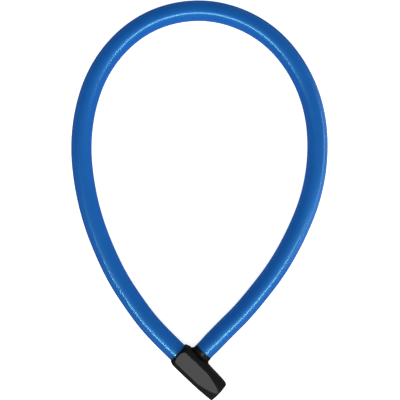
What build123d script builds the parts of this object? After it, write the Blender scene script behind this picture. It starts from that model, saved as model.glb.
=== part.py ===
from build123d import *
import math
import os

# Keyed cable lock. A sleeved wire rope forms a fixed loop: one end is anchored in
# the lock head, the other carries a locking bolt that plugs into the head's side.
# Row frame: +Z up, the head's flat back face lies on Z = 0, and the origin is on
# that face under the crossing of the head's long axis and the bolt's axis.
# Local frame of the head: x along its long axis from the fixed cable mouth towards
# the keyhole, y along the bolt, outwards, and z from the head's middle height.

# ---------------------------------------------------------------- dimensions (mm)
HEAD_ANGLE = -43.6       # direction of the head's long axis in the XY plane, degrees
BOLT_X = 10.8            # bolt axis, from the cable mouth
HALF_H = 8.5             # half the head's thickness
HEAD_L = 34.1            # head length
BARREL_R = 9.48          # radius of the rounded casing between its flats
TAPER = 0.0813           # fall of that radius per mm towards the keyhole end
TAPER_X = 20.35          # where the taper begins
MOUTH_R = 6.4            # casing radius at the cable mouth
MOUTH_ROUND = 3.08       # rounding of the casing at the cable mouth

CABLE_D = 12.2           # outer diameter of the vinyl sleeve
ROPE_D = 5.0             # steel wire rope in the sleeve
CABLE_Z = 6.12           # height of the cable's middle where it lies down

BORE_C = 0.05            # radial running clearance of bolt and plug
BOLT_R = 3.6
BOLT_NOSE = -4.6         # inner end of the bolt
GROOVE = (-3.2, -1.0)    # locking groove along the bolt
GROOVE_R = 2.4
BOSS_Y = 7.95            # outer face of the boss round the bolt hole
COLLAR_Y = 11.45         # where the bolt's collar meets the cable
SEAL_Y = (7.98, 8.19)

PLUG_R = 4.0
PLUG_X = (17.3, 32.95)
KEYWAY = (1.7, 6.4)      # width and height of the keyway
WAFERS = 5
WAFER_X0, WAFER_STEP, WAFER_T = 21.2, 1.9, 1.1
WAFER_CUT = (0.30, -0.40, 0.10, -0.20, 0.40)

ECCENTRIC = 1.2          # crank of the cam pin, and the travel of the latch
CAM_R = 0.6
LATCH_X = (14.9, 16.9)
LATCH_TOP = 5.7
TONGUE_Z = 3.7           # underside of the tongue, drawn back

FERRULE_R, FERRULE_X = 3.35, (1.35, 6.6)
COVER_Z = (6.4, 7.0)

# Route of the cable: corner points in the row frame, from the fixed mouth round the
# loop to the collar. Straight runs between them are joined by tangent arcs.
ROUTE_XY = [
    (-7.77, 7.5), (-19.28, 18.62), (-30.76, 31.77), (-47.65, 57.14),
    (-62.76, 96.13), (-67.35, 139.81), (-55.18, 180.48), (-25.85, 208.1),
    (14.09, 214.44), (52.09, 196.57), (75.41, 157.64), (76.46, 109.66),
    (57.91, 65.37), (33.47, 33.8), (18.83, 19.49), (7.71, 7.98),
]
END_LEG = 16.0
ROUTE_Z = [8.5, 8.5, 7.5, 6.45] + [CABLE_Z] * 8 + [6.45, 7.5, 8.5, 8.5]

# ------------------------------------------------------------------------ helpers
ANG = math.radians(HEAD_ANGLE)
AX = (math.cos(ANG), math.sin(ANG))
PLACE = Pos(-BOLT_X * AX[0], -BOLT_X * AX[1], HALF_H) * Rot(0, 0, HEAD_ANGLE)


def block(x, y, z):
    """Box between two limits on each axis, in the head's frame."""
    return Pos((x[0] + x[1]) / 2, (y[0] + y[1]) / 2, (z[0] + z[1]) / 2) * Box(
        x[1] - x[0], y[1] - y[0], z[1] - z[0]
    )


def rod_x(r, x, y=0.0, z=0.0):
    return Pos((x[0] + x[1]) / 2, y, z) * Rot(0, 90, 0) * Cylinder(r, x[1] - x[0])


def rod_y(r, y, x=BOLT_X, z=0.0):
    return Pos(x, (y[0] + y[1]) / 2, z) * Rot(90, 0, 0) * Cylinder(r, y[1] - y[0])


def rod_z(r, z, x, y):
    return Pos(x, y, (z[0] + z[1]) / 2) * Cylinder(r, z[1] - z[0])


def cone_z(r0, r1, z, x, y):
    return Pos(x, y, (z[0] + z[1]) / 2) * Cone(r0, r1, z[1] - z[0])


def turned_y(profile, x=BOLT_X):
    """Solid turned about the bolt axis from (radius, y) points."""
    wire = Polyline(*[(r, y, 0) for r, y in profile], close=True)
    return Pos(x, 0, 0) * revolve(make_face(wire), Axis.Y)


def coil(radius, wire_r, height, turns, at):
    """Compression spring standing on at, along z."""
    path = Helix(pitch=height / turns, height=height, radius=radius)
    section = Plane(origin=path @ 0, z_dir=path % 0) * Circle(wire_r)
    return Pos(*at) * sweep(section, path=path)


def save(node, shape):
    os.makedirs("parts", exist_ok=True)
    placed = PLACE * shape
    placed.label = node
    export_step(placed, f"parts/{node}.step")
    return placed


os.makedirs("parts", exist_ok=True)

# ------------------------------------------------------------------------- casing
X_END = HEAD_L - 1.9         # where the casing starts to round off to its end face
r_end = BARREL_R - TAPER * (X_END - TAPER_X)
body_wire = [
    Line((0, 0), (0, MOUTH_R)),
    ThreePointArc(
        (0, MOUTH_R),
        (MOUTH_ROUND * (1 - math.cos(math.radians(45))),
         MOUTH_R + MOUTH_ROUND * math.sin(math.radians(45))),
        (MOUTH_ROUND, MOUTH_R + MOUTH_ROUND),
    ),
    Line((MOUTH_ROUND, BARREL_R), (TAPER_X - 1.5, BARREL_R)),
    ThreePointArc(
        (TAPER_X - 1.5, BARREL_R),
        (TAPER_X, BARREL_R - TAPER * 0.38),
        (TAPER_X + 1.5, BARREL_R - TAPER * 1.5),
    ),
    Line((TAPER_X + 1.5, BARREL_R - TAPER * 1.5), (X_END, r_end)),
    ThreePointArc((X_END, r_end), (X_END + 1.15, r_end - 0.52), (X_END + 1.6, r_end - 1.72)),
    ThreePointArc((X_END + 1.6, r_end - 1.72), (X_END + 1.83, 3.3), (HEAD_L, 0)),
    Line((HEAD_L, 0), (0, 0)),
]
barrel = revolve(make_face(Wire(body_wire)), Axis.X)

# Plan of the casing: the side with the bolt swells round it, the other side is plain.
bolt_side = [
    (0, 5.98), (2.2, 6.84), (3.3, 7.16), (4.8, 7.38), (17.5, 7.38), (19.4, 7.12),
    (21.4, 6.90), (26.5, 6.72), (HEAD_L + 0.4, 6.25),
]
plain_side = [(0, 5.98), (2.2, 6.62), (6.0, 6.74), (20.0, 6.70), (26.5, 6.54), (HEAD_L + 0.4, 6.08)]
outline = Polyline(*bolt_side, *[(x, -y) for x, y in reversed(plain_side)], close=True)
plan = make_face(outline)
corners = plan.vertices()
key_corners = [v for v in corners if v.X > HEAD_L]
plan = fillet(key_corners, 1.0)
plan = fillet([v for v in plan.vertices() if abs(v.X - 2.2) < 0.01], 3.0)
casing = barrel & (Pos(0, 0, -HALF_H) * extrude(plan, 2 * HALF_H))
flare = [
    Line((0, 4.0), (8.6, 4.0)), Line((8.6, 4.0), (8.6, 7.15)),
    ThreePointArc((8.6, 7.15), (7.5, 7.5), (6.85, BOSS_Y)),
    Line((6.85, BOSS_Y), (0, BOSS_Y)), Line((0, BOSS_Y), (0, 4.0)),
]
boss = Pos(BOLT_X, 0, 0) * revolve(make_face(Wire(flare)), Axis.Y)
boss = boss & rod_x(BARREL_R + 0.06, (0.8, 22))
casing = casing + (boss & block((0, 30), (0, 12), (-HALF_H, HALF_H)))

cavity = block((1.2, 32.5), (-5.5, 5.5), (-7.1, 7.1)) & rod_x(7.45, (1.0, 32.6))
cavity += rod_x(ROPE_D / 2 + 0.1, (-1, 3))
cavity += rod_y(BOLT_R + 0.12, (4, 10))
cavity += rod_x(4.35, (31, 36))
cavity += rod_x(5.35, (33.0, 36))
shell = casing - cavity
front_shell = shell & block((-2, 40), (-14, 14), (0, 12))
back_shell = shell & block((-2, 40), (-14, 14), (-12, 0))
front_shell = save("front_shell", front_shell)
back_shell = save("back_shell", back_shell)

# A ring: the key turns in its round opening, and its rim keeps the plug's face in.
bezel = rod_x(5.3, (33.02, 33.8)) - rod_x(3.6, (32, 35))
bezel = chamfer(bezel.faces().sort_by(Axis.X)[-1].edges(), 0.2)
bezel = save("keyhole_bezel", bezel)

# -------------------------------------------------------------- lock housing, cover
chambers = (WAFER_X0 - WAFER_T / 2 - 0.35,
            WAFER_X0 + (WAFERS - 1) * WAFER_STEP + WAFER_T / 2 + 0.35)
housing = block((1.3, 32.45), (-5.4, 5.4), (-6.4, 6.4)) & rod_x(7.4, (1.2, 32.5))
housing -= rod_x(FERRULE_R + 0.05, (0, 6.65))
housing -= rod_y(BOLT_R + BORE_C, (BOLT_NOSE - 0.3, 7))
housing -= rod_x(PLUG_R + BORE_C, (PLUG_X[0] - 0.1, 33))
housing -= block((LATCH_X[0] - 0.15, PLUG_X[0] + 0.05), (-3.25, 1.75), (-2.1, 7))
housing -= block((9.2, LATCH_X[0]), (-3.25, -0.95), (2.0, 7))
housing -= block(chambers, (-2.3, 2.3), (-5.0, 5.0))
SCREW_X = (18.7, 31.0)
for x in SCREW_X:
    housing -= rod_z(0.62, (4.6, 7), x, 0)
ANCHOR_PIN = (4.2, 3.2)          # x and z of the roll pin across the ferrule
CLIP_PIN = (19.0, -4.0)          # x and z of the pin that keeps the plug in
housing -= rod_y(0.62, (-6, 6), ANCHOR_PIN[0], ANCHOR_PIN[1])
housing -= rod_y(0.52, (-6, 6), CLIP_PIN[0], CLIP_PIN[1])
housing = save("lock_housing", housing)

cover = block((8.4, 32.0), (-2.3, 2.3), COVER_Z)
for x in SCREW_X:
    cover -= rod_z(0.72, (6, 7.2), x, 0)
    cover -= cone_z(0.62, 1.15, (6.5, 7.0), x, 0)
cover = save("housing_cover", cover)

screws = []
for x in SCREW_X:
    screw = rod_z(0.6, (4.7, 6.6), x, 0) + cone_z(0.6, 1.1, (6.5, 7.0), x, 0)
    screw -= block((x - 0.13, x + 0.13), (-1.2, 1.2), (6.8, 7.1))
    screws.append(screw)
cover_screws = save("cover_screws", Compound(children=screws))

# --------------------------------------------------------------- rope anchor (fixed)
ferrule = rod_x(FERRULE_R, FERRULE_X) - rod_x(ROPE_D / 2 + 0.02, (0, FERRULE_X[1] - 0.5))
ferrule -= rod_y(0.62, (-6, 6), ANCHOR_PIN[0], ANCHOR_PIN[1])
ferrule = save("anchor_ferrule", ferrule)
roll_pin = rod_y(0.6, (-5.2, 5.2), *ANCHOR_PIN) - rod_y(0.34, (-6, 6), *ANCHOR_PIN)
roll_pin -= block((4.1, 4.3), (-6, 6), (3.2, 4.2))
roll_pin = save("anchor_roll_pin", roll_pin)

# ------------------------------------------------------------------- cylinder plug
plug = rod_x(PLUG_R, PLUG_X)
plug -= block((19.95, 34), (-KEYWAY[0] / 2, KEYWAY[0] / 2), (-KEYWAY[1] / 2, KEYWAY[1] / 2))
for i in range(WAFERS):
    x = WAFER_X0 + i * WAFER_STEP
    w = WAFER_T / 2 + 0.08
    plug -= block((x - w, x + w), (-2.1, 2.1), (-5, 5))
    plug -= block((x - w, x + w), (2.0, 3.35), (-1.95, 2.2))
groove = rod_x(5, (18.45, 19.55)) - rod_x(3.4, (18, 20))
plug -= groove
plug -= rod_x(CAM_R + 0.01, (17, 18.4), 0, ECCENTRIC)
plug = save("cylinder_plug", plug)

wafers, springs = [], []
for i, cut in enumerate(WAFER_CUT):
    x = WAFER_X0 + i * WAFER_STEP
    h = WAFER_T / 2
    wafer = block((x - h, x + h), (-2.0, 2.0), (-4.2, 4.2)) & rod_x(3.93, (x - 1, x + 1))
    wafer += block((x - h, x + h), (1.9, 3.15), (1.3, 2.0))
    wafer -= block((x - 1, x + 1), (-0.95, 0.95), (-2.3 + cut, 2.2 + cut))
    wafers.append(wafer)
    springs.append(coil(0.38, 0.09, 2.95, 5, (x, 2.7, -1.80)))
wafers = save("wafers", Compound(children=wafers))
springs = save("wafer_springs", Compound(children=springs))

cam_pin = save("cam_pin", rod_x(CAM_R, (LATCH_X[0] + 0.1, 18.3), 0, ECCENTRIC))
clip_pin = save("plug_retaining_pin", rod_y(0.5, (-5.2, 5.2), *CLIP_PIN))

# ---------------------------------------------------------------------------- latch
latch = block(LATCH_X, (-3.1, 1.6), (-0.7, LATCH_TOP))
latch += block((9.4, LATCH_X[0] + 0.5), (-3.1, -1.1), (TONGUE_Z, LATCH_TOP))
slot_z = (ECCENTRIC - CAM_R - 0.33, ECCENTRIC + CAM_R + 0.33)
latch -= block((14, 18), (-ECCENTRIC - CAM_R - 0.1, CAM_R + 0.1), slot_z)
LATCH_SPRING = (15.9, -0.2)
latch -= rod_z(0.85, (3.0, 6), *LATCH_SPRING)
latch = save("latch", latch)
latch_spring = coil(0.55, 0.14, 3.0, 5, (LATCH_SPRING[0], LATCH_SPRING[1], 3.18))
latch_spring = save("latch_spring", latch_spring)

# ----------------------------------------------------------------------------- bolt
bolt = turned_y([
    (0, BOLT_NOSE), (BOLT_R - 0.7, BOLT_NOSE), (BOLT_R, BOLT_NOSE + 0.7),
    (BOLT_R, GROOVE[0]), (GROOVE_R, GROOVE[0]), (GROOVE_R, GROOVE[1]),
    (BOLT_R, GROOVE[1]), (BOLT_R, 10.6), (ROPE_D / 2 + 0.05, 10.6),
    (ROPE_D / 2 + 0.05, 1.5), (0, 1.5),
])
bolt = save("bolt_pin", bolt)

collar_lines = [
    Line((BOLT_R + 0.01, 8.22), (6.72, 8.22)),
    ThreePointArc((6.72, 8.22), (6.2, 8.8), (6.0, 9.6)),
    Line((6.0, 9.6), (6.0, COLLAR_Y - 0.65)),
    ThreePointArc((6.0, COLLAR_Y - 0.65), (5.86, COLLAR_Y - 0.25), (5.55, COLLAR_Y)),
    Line((5.55, COLLAR_Y), (ROPE_D / 2 + 0.05, COLLAR_Y)),
    Line((ROPE_D / 2 + 0.05, COLLAR_Y), (ROPE_D / 2 + 0.05, 10.62)),
    Line((ROPE_D / 2 + 0.05, 10.62), (BOLT_R + 0.01, 10.62)),
    Line((BOLT_R + 0.01, 10.62), (BOLT_R + 0.01, 8.22)),
]
collar = Pos(BOLT_X, 0, 0) * revolve(make_face(Wire(collar_lines)), Axis.Y)
collar = save("bolt_collar", collar)

seal = turned_y([
    (BOLT_R + 0.01, SEAL_Y[0]), (5.2, SEAL_Y[0]), (5.35, 8.04), (5.35, 8.13),
    (5.2, SEAL_Y[1]), (BOLT_R + 0.01, SEAL_Y[1]),
])
seal = save("bolt_seal_ring", seal)

# ---------------------------------------------------------------------------- cable
pts = [Vector(x, y, z) for (x, y), z in zip(ROUTE_XY, ROUTE_Z)]
mouth = PLACE * Pos(0, 0, 0)
pts[0] = Vector(*(PLACE * Pos(0, 0, 0)).position)
pts[-1] = Vector(*(PLACE * Pos(BOLT_X, COLLAR_Y, 0)).position)
pts[1] = pts[0] - Vector(AX[0], AX[1], 0) * END_LEG
pts[-2] = pts[-1] + Vector(-AX[1], AX[0], 0) * END_LEG
runs = [(b - a) for a, b in zip(pts, pts[1:])]
radii = []
for p, q in zip(runs, runs[1:]):
    turn = math.radians(p.get_angle(q))
    radii.append(0.45 * min(p.length, q.length) / math.tan(turn / 2))
print("runs", [round(r.length, 1) for r in runs])
print("radii", [round(r, 1) for r in radii])
path = FilletPolyline(*pts, radius=radii)
long = path.length


def tube(outer, inner, lead_in, lead_out):
    """Round tube along the route, with straight stubs at its two ends."""
    start = Plane(origin=path @ 0, z_dir=path % 0)
    ring = start * (Circle(outer) - Circle(inner)) if inner else start * Circle(outer)
    solid = sweep(ring, path=path)
    for where, way, stub in ((path @ 0, -(path % 0), lead_in), (path @ 1, path % 1, lead_out)):
        if stub:
            solid += extrude(Plane(origin=where, z_dir=way) * Circle(outer), stub)
    return solid


STUBS = (6.0, COLLAR_Y - 1.8)      # bare rope in the ferrule and in the bolt
jacket = tube(CABLE_D / 2, ROPE_D / 2 + 0.05, 0, 0)
rope = tube(ROPE_D / 2, 0, *STUBS)
print("cable length", round(long, 1))
for name, solid, area in (
    ("jacket", jacket, math.pi * ((CABLE_D / 2) ** 2 - (ROPE_D / 2 + 0.05) ** 2)),
    ("rope", rope, math.pi * (ROPE_D / 2) ** 2),
):
    extra = sum(STUBS) * area if name == "rope" else 0
    print(name, "volume", round(solid.volume, 1), "section x length", round(area * long + extra, 1))
jacket.label = "cable_jacket"
rope.label = "wire_rope_core"
export_step(jacket, "parts/cable_jacket.step")
export_step(rope, "parts/wire_rope_core.step")
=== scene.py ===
import math

import bmesh
import bpy
from mathutils import Matrix, Vector


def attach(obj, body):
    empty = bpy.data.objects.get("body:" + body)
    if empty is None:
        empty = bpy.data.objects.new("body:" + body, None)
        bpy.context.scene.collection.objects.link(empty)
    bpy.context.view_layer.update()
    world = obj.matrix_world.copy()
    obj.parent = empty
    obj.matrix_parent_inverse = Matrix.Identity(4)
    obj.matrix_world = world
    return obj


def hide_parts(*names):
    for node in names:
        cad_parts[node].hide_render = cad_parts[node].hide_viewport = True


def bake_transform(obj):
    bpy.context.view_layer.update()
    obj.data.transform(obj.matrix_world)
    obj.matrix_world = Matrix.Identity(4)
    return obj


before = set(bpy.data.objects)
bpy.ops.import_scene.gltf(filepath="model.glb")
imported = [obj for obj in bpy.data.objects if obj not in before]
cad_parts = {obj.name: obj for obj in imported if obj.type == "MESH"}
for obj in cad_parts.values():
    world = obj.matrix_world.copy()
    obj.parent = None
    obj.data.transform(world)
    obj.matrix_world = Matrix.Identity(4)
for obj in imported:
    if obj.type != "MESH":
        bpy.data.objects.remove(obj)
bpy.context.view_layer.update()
scene = bpy.context.scene
scene.view_settings.view_transform = "Standard"
scene.view_settings.look = "None"

# ------------------------------------------------------------------ the head's own axes
ANG = math.radians(-43.6)
ALONG = Vector((math.cos(ANG), math.sin(ANG), 0))      # mouth towards keyhole
OUT = Vector((-math.sin(ANG), math.cos(ANG), 0))       # along the bolt, outwards
MID = 0.0085
BOLT_X = 0.0108


def local(x, y, z=0.0):
    """A point given in the head's own axes, in metres."""
    return ALONG * (x - BOLT_X) + OUT * y + Vector((0, 0, MID + z))


# ------------------------------------------------------------------------------ camera
cam_data = bpy.data.cameras.new("camera")
camera = bpy.data.objects.new("camera", cam_data)
scene.collection.objects.link(camera)
CAM_H = 0.54
camera.location = (0.005466, 0.09856, CAM_H + 0.0061)
camera.rotation_euler = (0, 0, 0)
cam_data.sensor_width = 36
cam_data.lens = 36 * CAM_H / 0.240
scene.camera = camera

# ------------------------------------------------------------------------------- cable
MM = 0.001
ROUTE = [
    (-7.77, 7.5, 8.5), (-19.28, 18.62, 8.5), (-30.76, 31.77, 7.5), (-47.65, 57.14, 6.45),
    (-62.76, 96.13, 6.12), (-67.35, 139.81, 6.12), (-55.18, 180.48, 6.12),
    (-25.85, 208.1, 6.12), (14.09, 214.44, 6.12), (52.09, 196.57, 6.12),
    (75.41, 157.64, 6.12), (76.46, 109.66, 6.12), (57.91, 65.37, 6.45),
    (33.47, 33.8, 7.5), (18.83, 19.49, 8.5), (7.71, 7.98, 8.5),
]
MOUTH = local(0, 0)
COLLAR = local(BOLT_X, 0.01145)
route = [Vector(p) * MM for p in ROUTE]
route[0], route[1] = MOUTH, MOUTH - ALONG * 0.016
route[-1], route[-2] = COLLAR, COLLAR + OUT * 0.016

curve = bpy.data.curves.new("route", "CURVE")
curve.dimensions = "3D"
spline = curve.splines.new("NURBS")
spline.points.add(len(route) - 1)
for point, place in zip(spline.points, route):
    point.co = (*place, 1)
spline.order_u = 3
spline.use_endpoint_u = True
spline.resolution_u = 26
route_obj = bpy.data.objects.new("route", curve)
scene.collection.objects.link(route_obj)
bpy.context.view_layer.update()
line_mesh = bpy.data.meshes.new_from_object(route_obj)
LINE = [v.co.copy() for v in line_mesh.vertices]
bpy.data.objects.remove(route_obj)

SLEEVE_R = 0.0061
ROPE_R = 0.0025


def lengths(points):
    out = [0.0]
    for a, b in zip(points, points[1:]):
        out.append(out[-1] + (b - a).length)
    return out


def tangents(points):
    out = []
    for i in range(len(points)):
        a, b = points[max(i - 1, 0)], points[min(i + 1, len(points) - 1)]
        out.append((b - a).normalized())
    return out


def add_piece(name, mesh):
    o = bpy.data.objects.new(name, mesh)
    scene.collection.objects.link(o)
    return o


def swept(bm, uv, points, tans, radius, sides, along, smooth_cap=None):
    """Adds a closed tube round points to bm. radius is one number per point."""
    up = Vector((0, 0, 1))
    rings = []
    for p, t, r in zip(points, tans, radius):
        side = t.cross(up).normalized()
        top = side.cross(t).normalized()
        rings.append([
            bm.verts.new(p + (side * math.cos(2 * math.pi * k / sides)
                              + top * math.sin(2 * math.pi * k / sides)) * r)
            for k in range(sides)
        ])
    for i in range(len(rings) - 1):
        for k in range(sides):
            n = (k + 1) % sides
            f = bm.faces.new((rings[i][k], rings[i][n], rings[i + 1][n], rings[i + 1][k]))
            f.smooth = True
            for loop, (a, b) in zip(f.loops, ((i, k), (i, k + 1), (i + 1, k + 1), (i + 1, k))):
                loop[uv].uv = (along[a], b / sides)
    for ring, flip in ((rings[0], True), (rings[-1], False)):
        f = bm.faces.new(ring if flip else ring[::-1])
        f.smooth = False
        for e in f.edges:
            e.smooth = False
    return rings


def sleeve(name, points, tans, along, radius):
    bm = bmesh.new()
    uv = bm.loops.layers.uv.new("UVMap")
    swept(bm, uv, points, tans, radius, 64, along)
    bmesh.ops.recalc_face_normals(bm, faces=bm.faces)
    mesh = bpy.data.meshes.new(name)
    bm.to_mesh(mesh)
    bm.free()
    return add_piece(name, mesh)


def rope(name, points, tans, along):
    """Seven strands, six laid round one."""
    bm = bmesh.new()
    uv = bm.loops.layers.uv.new("UVMap")
    up = Vector((0, 0, 1))
    strand_r, lay = ROPE_R / 3 * 0.985, 0.034
    for s in range(7):
        if s == 6:
            pts = points
        else:
            pts = []
            for p, t, d in zip(points, tans, along):
                side = t.cross(up).normalized()
                top = side.cross(t).normalized()
                a = 2 * math.pi * (s / 6 + d / lay)
                pts.append(p + (side * math.cos(a) + top * math.sin(a)) * strand_r * 2)
        swept(bm, uv, pts, tangents(pts), [strand_r] * len(pts), 10, along)
    bmesh.ops.recalc_face_normals(bm, faces=bm.faces)
    mesh = bpy.data.meshes.new(name)
    bm.to_mesh(mesh)
    bm.free()
    return add_piece(name, mesh)


TANS = tangents(LINE)
ALONGS = lengths(LINE)
TOTAL = ALONGS[-1]


def squeeze(d):
    """Radius of the sleeve: a little less where the collar grips it."""
    k = min(1.0, (TOTAL - d) / 0.009)
    return SLEEVE_R - 0.00022 * (1 - k * k * (3 - 2 * k))


top_i = max(range(len(LINE)), key=lambda i: LINE[i].y)
halves = {
    "fixed": (0, top_i + 1),
    "free": (top_i, len(LINE)),
}
sleeves, ropes = {}, {}
for side, (a, b) in halves.items():
    pts, tans, al = LINE[a:b], TANS[a:b], ALONGS[a:b]
    sleeves[side] = sleeve(f"cable_sleeve_{side}_side", pts, tans, al, [squeeze(d) for d in al])
    rp, rt, ra = list(pts), list(tans), list(al)
    if side == "fixed":
        rp.insert(0, MOUTH + ALONG * 0.0059)
        rt.insert(0, rt[0])
        ra.insert(0, -0.0059)
    else:
        rp.append(COLLAR - OUT * 0.00955)
        rt.append(rt[-1])
        ra.append(TOTAL + 0.00955)
    ropes[side] = rope(f"wire_rope_{side}_side", rp, rt, ra)

for kind, node, slot in ((sleeves, "cable_jacket", "cable_sleeve"), (ropes, "wire_rope_core", "rope_steel")):
    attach(kind["fixed"], "head")
    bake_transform(kind["free"])
    for o in kind.values():
        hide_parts(node)


# --------------------------------------------------------------------------- materials
def new_material(name):
    m = bpy.data.materials.new(name)
    m.use_nodes = True
    nodes, links = m.node_tree.nodes, m.node_tree.links
    return m, nodes, links, nodes["Principled BSDF"]


def coords(nodes, links, kind, scale=(1, 1, 1)):
    c = nodes.new("ShaderNodeTexCoord")
    mp = nodes.new("ShaderNodeMapping")
    mp.inputs["Scale"].default_value = scale
    links.new(c.outputs[kind], mp.inputs["Vector"])
    return mp.outputs["Vector"]


def noise(nodes, links, vec, scale, detail=3.0, rough=0.55):
    n = nodes.new("ShaderNodeTexNoise")
    n.inputs["Scale"].default_value = scale
    n.inputs["Detail"].default_value = detail
    n.inputs["Roughness"].default_value = rough
    links.new(vec, n.inputs["Vector"])
    return n.outputs["Fac"]


def spread(nodes, links, fac, lo, hi, a=0.3, b=0.7):
    r = nodes.new("ShaderNodeMapRange")
    r.inputs["From Min"].default_value, r.inputs["From Max"].default_value = a, b
    r.inputs["To Min"].default_value, r.inputs["To Max"].default_value = lo, hi
    links.new(fac, r.inputs["Value"])
    return r.outputs["Result"]


def ramp(nodes, links, fac, stops):
    r = nodes.new("ShaderNodeValToRGB")
    e = r.color_ramp.elements
    while len(e) < len(stops):
        e.new(0.5)
    for el, (pos, col) in zip(e, stops):
        el.position, el.color = pos, (*col, 1)
    links.new(fac, r.inputs["Fac"])
    return r.outputs["Color"]


def bump(nodes, links, height, strength, distance, under=None):
    b = nodes.new("ShaderNodeBump")
    b.inputs["Strength"].default_value = strength
    b.inputs["Distance"].default_value = distance
    links.new(height, b.inputs["Height"])
    if under:
        links.new(under, b.inputs["Normal"])
    return b.outputs["Normal"]


def vinyl():
    m, n, l, p = new_material("blue_vinyl")
    uv = coords(n, l, "UV", (18, 26, 1))
    streak = noise(n, l, uv, 5.0, 2.0)
    cloud = noise(n, l, coords(n, l, "Object"), 55.0, 2.0)
    base = ramp(n, l, cloud, [(0.30, (0.0036, 0.108, 0.462)), (0.70, (0.0050, 0.120, 0.498))])
    l.new(base, p.inputs["Base Color"])
    l.new(spread(n, l, streak, 0.26, 0.275), p.inputs["Roughness"])
    tangent = n.new("ShaderNodeTangent")
    tangent.direction_type, tangent.uv_map = "UV_MAP", "UVMap"
    l.new(tangent.outputs["Tangent"], p.inputs["Tangent"])
    p.inputs["Anisotropic"].default_value = 0.5
    p.inputs["Specular IOR Level"].default_value = 0.50
    p.inputs["Specular Tint"].default_value = (0.30, 0.84, 1.0, 1)
    l.new(bump(n, l, streak, 0.012, 0.00005), p.inputs["Normal"])
    return m


def casing():
    m, n, l, p = new_material("black_satin_plastic")
    grain = noise(n, l, coords(n, l, "Object"), 4200.0, 2.0)
    cloud = noise(n, l, coords(n, l, "Object"), 160.0, 3.0)
    base = ramp(n, l, cloud, [(0.3, (0.0030, 0.0030, 0.0031)), (0.7, (0.0040, 0.0040, 0.0041))])
    l.new(base, p.inputs["Base Color"])
    l.new(spread(n, l, grain, 0.33, 0.40), p.inputs["Roughness"])
    p.inputs["Specular IOR Level"].default_value = 0.15
    l.new(bump(n, l, grain, 0.10, 0.00002), p.inputs["Normal"])
    return m


def metal(name, dark, light, rough, streaks=(1, 1, 1), grain=900.0, depth=0.00001):
    m, n, l, p = new_material(name)
    v = coords(n, l, "Object", streaks)
    fine = noise(n, l, v, grain, 4.0)
    l.new(ramp(n, l, fine, [(0.3, dark), (0.7, light)]), p.inputs["Base Color"])
    p.inputs["Metallic"].default_value = 1.0
    l.new(spread(n, l, fine, rough - 0.06, rough + 0.07), p.inputs["Roughness"])
    l.new(bump(n, l, fine, 0.25, depth), p.inputs["Normal"])
    return m


def rubber():
    m, n, l, p = new_material("black_rubber")
    fine = noise(n, l, coords(n, l, "Object"), 2600.0, 2.0)
    l.new(ramp(n, l, fine, [(0.3, (0.006, 0.006, 0.006)), (0.7, (0.010, 0.010, 0.010))]), p.inputs["Base Color"])
    l.new(spread(n, l, fine, 0.6, 0.75), p.inputs["Roughness"])
    p.inputs["Specular IOR Level"].default_value = 0.3
    l.new(bump(n, l, fine, 0.2, 0.00002), p.inputs["Normal"])
    return m


VINYL, CASING, RUBBER = vinyl(), casing(), rubber()
ROPE = metal("bright_wire", (0.42, 0.43, 0.45), (0.62, 0.63, 0.65), 0.30)
STEEL = metal("plated_steel", (0.50, 0.51, 0.53), (0.66, 0.67, 0.69), 0.26)
BOLT = metal("polished_steel", (0.62, 0.63, 0.65), (0.75, 0.76, 0.78), 0.16, grain=1400.0)
ZINC = metal("cast_zinc", (0.34, 0.35, 0.36), (0.46, 0.47, 0.48), 0.46, grain=700.0, depth=0.00004)
BRASS = metal("turned_brass", (0.62, 0.42, 0.15), (0.74, 0.53, 0.22), 0.27)
SPRING = metal("spring_wire", (0.40, 0.41, 0.43), (0.55, 0.56, 0.58), 0.28)

for o in sleeves.values():
    o.data.materials.append(VINYL)
for o in ropes.values():
    o.data.materials.append(ROPE)

NODE_MATERIALS = {
    "front_shell": CASING, "back_shell": CASING, "bolt_collar": CASING,
    "keyhole_bezel": STEEL, "lock_housing": ZINC, "housing_cover": STEEL,
    "cover_screws": STEEL, "cylinder_plug": BRASS, "cam_pin": STEEL, "wafers": BRASS,
    "wafer_springs": SPRING, "plug_retaining_pin": STEEL, "latch": STEEL,
    "latch_spring": SPRING, "bolt_pin": BOLT, "bolt_seal_ring": RUBBER,
    "anchor_ferrule": ZINC, "anchor_roll_pin": SPRING,
    "cable_jacket": VINYL, "wire_rope_core": ROPE,
}
for name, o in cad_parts.items():
    if len(o.material_slots) == 0:
        o.data.materials.append(NODE_MATERIALS[name])
    for slot in o.material_slots:
        slot.material = NODE_MATERIALS[name]

# ------------------------------------------------------------------------------- stage
mesh = bpy.data.meshes.new("floor")
bm = bmesh.new()
bmesh.ops.create_grid(bm, x_segments=1, y_segments=1, size=5)
bm.to_mesh(mesh)
bm.free()
floor = add_piece("floor", mesh)
floor.location = (0, 0, -0.00005)
m, n, l, p = new_material("pale_floor")
p.inputs["Base Color"].default_value = (0.55, 0.55, 0.55, 1)
p.inputs["Roughness"].default_value = 0.9
p.inputs["Specular IOR Level"].default_value = 0.0
p.inputs["Emission Color"].default_value = (1, 1, 1, 1)
p.inputs["Emission Strength"].default_value = 0.80
mesh.materials.append(m)
floor.visible_glossy = False

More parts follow.
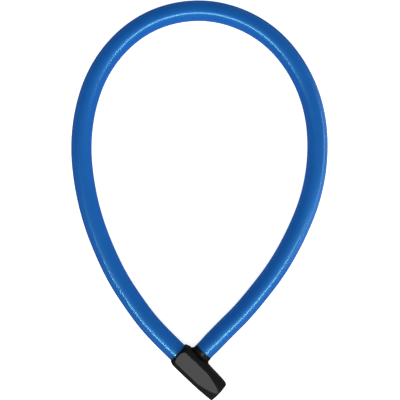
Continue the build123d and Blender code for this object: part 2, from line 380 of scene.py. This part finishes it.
# The studio round the lock: paler towards the south-east, darker to the north-west.
world = bpy.data.worlds.new("world")
scene.world = world
world.use_nodes = True
wn, wl = world.node_tree.nodes, world.node_tree.links
towards = wn.new("ShaderNodeVectorMath")
towards.operation = "DOT_PRODUCT"
towards.inputs[1].default_value = Vector((0.42, -0.91, 0.0)).normalized()
way = wn.new("ShaderNodeTexCoord").outputs["Generated"]
wl.new(way, towards.inputs[0])
side = spread(wn, wl, towards.outputs["Value"], 0.0, 1.0, -1.0, 1.0)
wl.new(ramp(wn, wl, side, [
    (0.05, (0.26, 0.26, 0.26)), (0.5, (0.56, 0.56, 0.56)), (1.0, (0.90, 0.90, 0.90)),
]), wn["Background"].inputs["Color"])
split = wn.new("ShaderNodeSeparateXYZ")
wl.new(way, split.inputs["Vector"])
wl.new(spread(wn, wl, split.outputs["Z"], 0.12, 1.0, -0.12, 0.06), wn["Background"].inputs["Strength"])

CENTRE = Vector((0.0055, 0.099, 0.006))
cable_objects = list(sleeves.values())


def linked(name, objects, state):
    group = bpy.data.collections.new(name)
    for o in objects:
        group.objects.link(o)
    for c in group.collection_objects:
        c.light_linking.link_state = state
    return group


def light(name, place, size, power, size_y=None, aim=CENTRE, on=None, skip=None, only=None,
          colour=(1, 1, 1), through=None):
    """A soft rectangular lamp. on lists all that it lights, skip what it leaves out.

    only is "gloss" for a lamp seen in highlights alone, "diffuse" for one seen in none.
    through lists what casts no shadow in its light."""
    d = bpy.data.lights.new(name, "AREA")
    d.shape = "RECTANGLE"
    d.size, d.size_y = size, size_y or size
    d.energy = power
    d.color = colour
    o = bpy.data.objects.new(name, d)
    o.location = place
    o.rotation_mode = "QUATERNION"
    o.rotation_quaternion = (Vector(aim) - Vector(place)).to_track_quat("-Z", "Y")
    o.visible_diffuse = only != "gloss"
    o.visible_glossy = only != "diffuse"
    scene.collection.objects.link(o)
    if on or skip:
        o.light_linking.receiver_collection = linked(name + "_lights", on or skip, "INCLUDE" if on else "EXCLUDE")
    if through:
        o.light_linking.blocker_collection = linked(name + "_passes", through, "EXCLUDE")
    return o


light("overhead", (0.0, -0.31, 1.6), 0.55, 14.9, aim=(0, 0, 0.01), skip=cable_objects)
light("key", (0.65, -1.12, 1.08), 1.2, 10.0, size_y=0.8, only="diffuse")
light("south_panel", (0.0, -0.37, 1.3), 2.4, 2.9, size_y=0.62, aim=(0.0, 0.099, 0.006),
      on=cable_objects, only="gloss")
light("south_strip", (0.1, -0.76, 1.3), 3.3, 60, size_y=0.12, aim=(0.1, 0.099, 0.006),
      on=cable_objects, only="gloss")
light("east_panel", (1.5, 0.0, 0.30), 1.3, 8.2, size_y=0.42, on=[sleeves["free"]], only="gloss")
light("east_low", (1.09, 0.10, -0.50), 1.2, 3.6, size_y=0.6, on=[sleeves["free"]], only="gloss",
      colour=(0.32, 0.68, 1.0), through=[floor])
